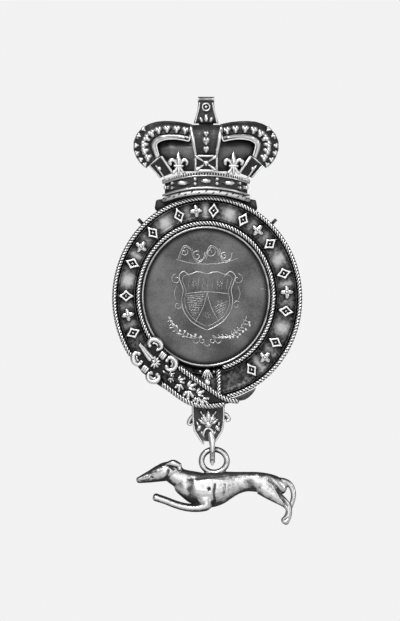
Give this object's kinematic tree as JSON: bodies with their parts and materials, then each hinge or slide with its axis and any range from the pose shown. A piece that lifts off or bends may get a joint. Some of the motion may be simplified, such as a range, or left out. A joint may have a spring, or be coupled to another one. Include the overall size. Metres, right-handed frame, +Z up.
{
  "type": "messenger badge",
  "caption": "Crowned oval buckled-strap badge in cast silver with an engraved centre plate and a greyhound that swings from a hook below.",
  "frame": {"origin": "middle of the axis of the suspension eye at the top of the badge", "axes": "+Z up along the hanging badge, -Y out of its front face, +X to the right as seen from the front"},
  "size_m": [0.0512, 0.0102, 0.1157],
  "materials": {
    "cast": "cast silver, polished on its high edges and dark in its hollows",
    "bright": "polished silver",
    "dark": "tarnished silver",
    "strap": "tarnished silver ground with worn patches and polished raised motifs",
    "rope": "twisted silver wire, bright on its ridges",
    "engraved": "satin silver with fine engraved lines",
    "back": "plain brushed silver",
    "hound": "polished silver, dark in its creases"
  },
  "bodies": {
    "badge": {"suspension_loop": "cast", "crown_arch_front": "cast", "crown_arch_left": "cast", "crown_arch_right": "cast", "crown_cap": "dark", "crown_circlet": "cast", "ermine_rim": "bright", "front_cross": "cast", "fleur_left": "bright", "fleur_right": "bright", "side_cross_left": "cast", "side_cross_right": "cast", "crown_bracket": "dark", "belt_frame": "strap", "outer_rope": "rope", "inner_rope": "rope", "end_rope": "rope", "bezel": "bright", "medallion_plate": "engraved", "back_plate": "back", "back_clip_left": "dark", "back_clip_right": "dark", "buckle_frame": "bright", "buckle_tongue": "bright", "strap_tail": "strap", "tail_rope_upper": "rope", "tail_rope_lower": "rope", "strap_fold": "dark", "hanger": "cast"},
    "greyhound": {"greyhound": "hound"}
  },
  "joints": [
    {"name": "greyhound_swing", "type": "hinge", "parent": "badge", "child": "greyhound", "pos_m": [0.0017, 0.0018, -0.0963], "axis": [0, 1, 0], "range_deg": [-55, 55]}
  ]
}
